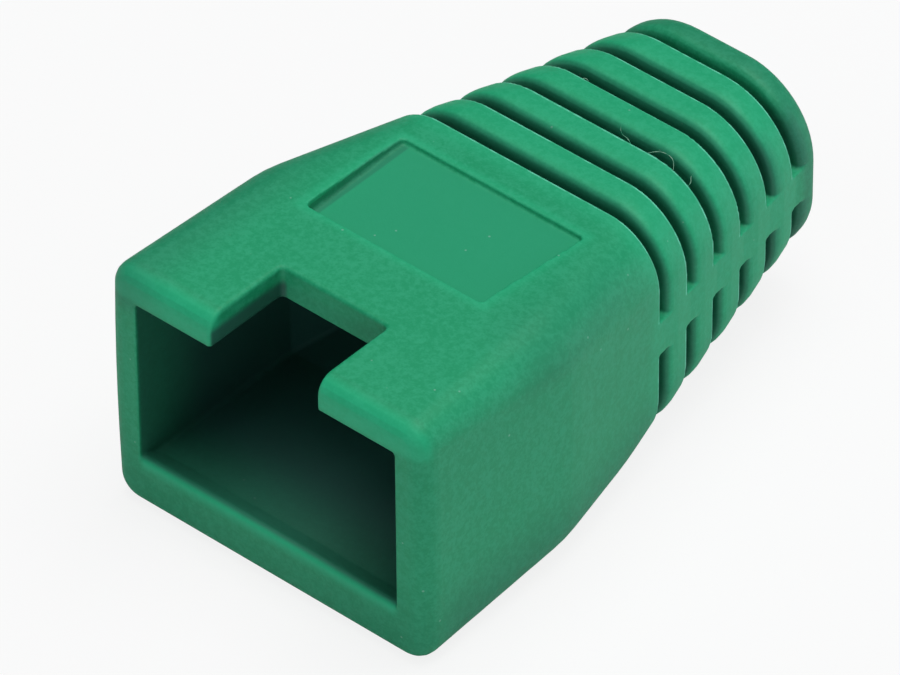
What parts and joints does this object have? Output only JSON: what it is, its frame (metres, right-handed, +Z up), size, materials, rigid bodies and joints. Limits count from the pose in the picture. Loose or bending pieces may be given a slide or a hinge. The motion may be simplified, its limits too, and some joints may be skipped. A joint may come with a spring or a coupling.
{
  "type": "cable strain relief boot",
  "caption": "Soft one-piece boot with a rectangular mouth that slips over the back of a modular plug and a slotted, tapering tail round the cable.",
  "frame": {"origin": "middle of the footprint, on the flat underside that the boot rests on, half way between the mouth and the end of the tail", "axes": "+Y from the mouth to the tail, along the cable; +Z up, towards the latch notch and the recess; +X across the boot"},
  "size_m": [0.015, 0.025, 0.0108],
  "materials": {
    "boot": "soft matt moulded surface with a fine grain, one colour all through"
  },
  "bodies": {
    "root": {"boot": "boot"}
  },
  "joints": []
}
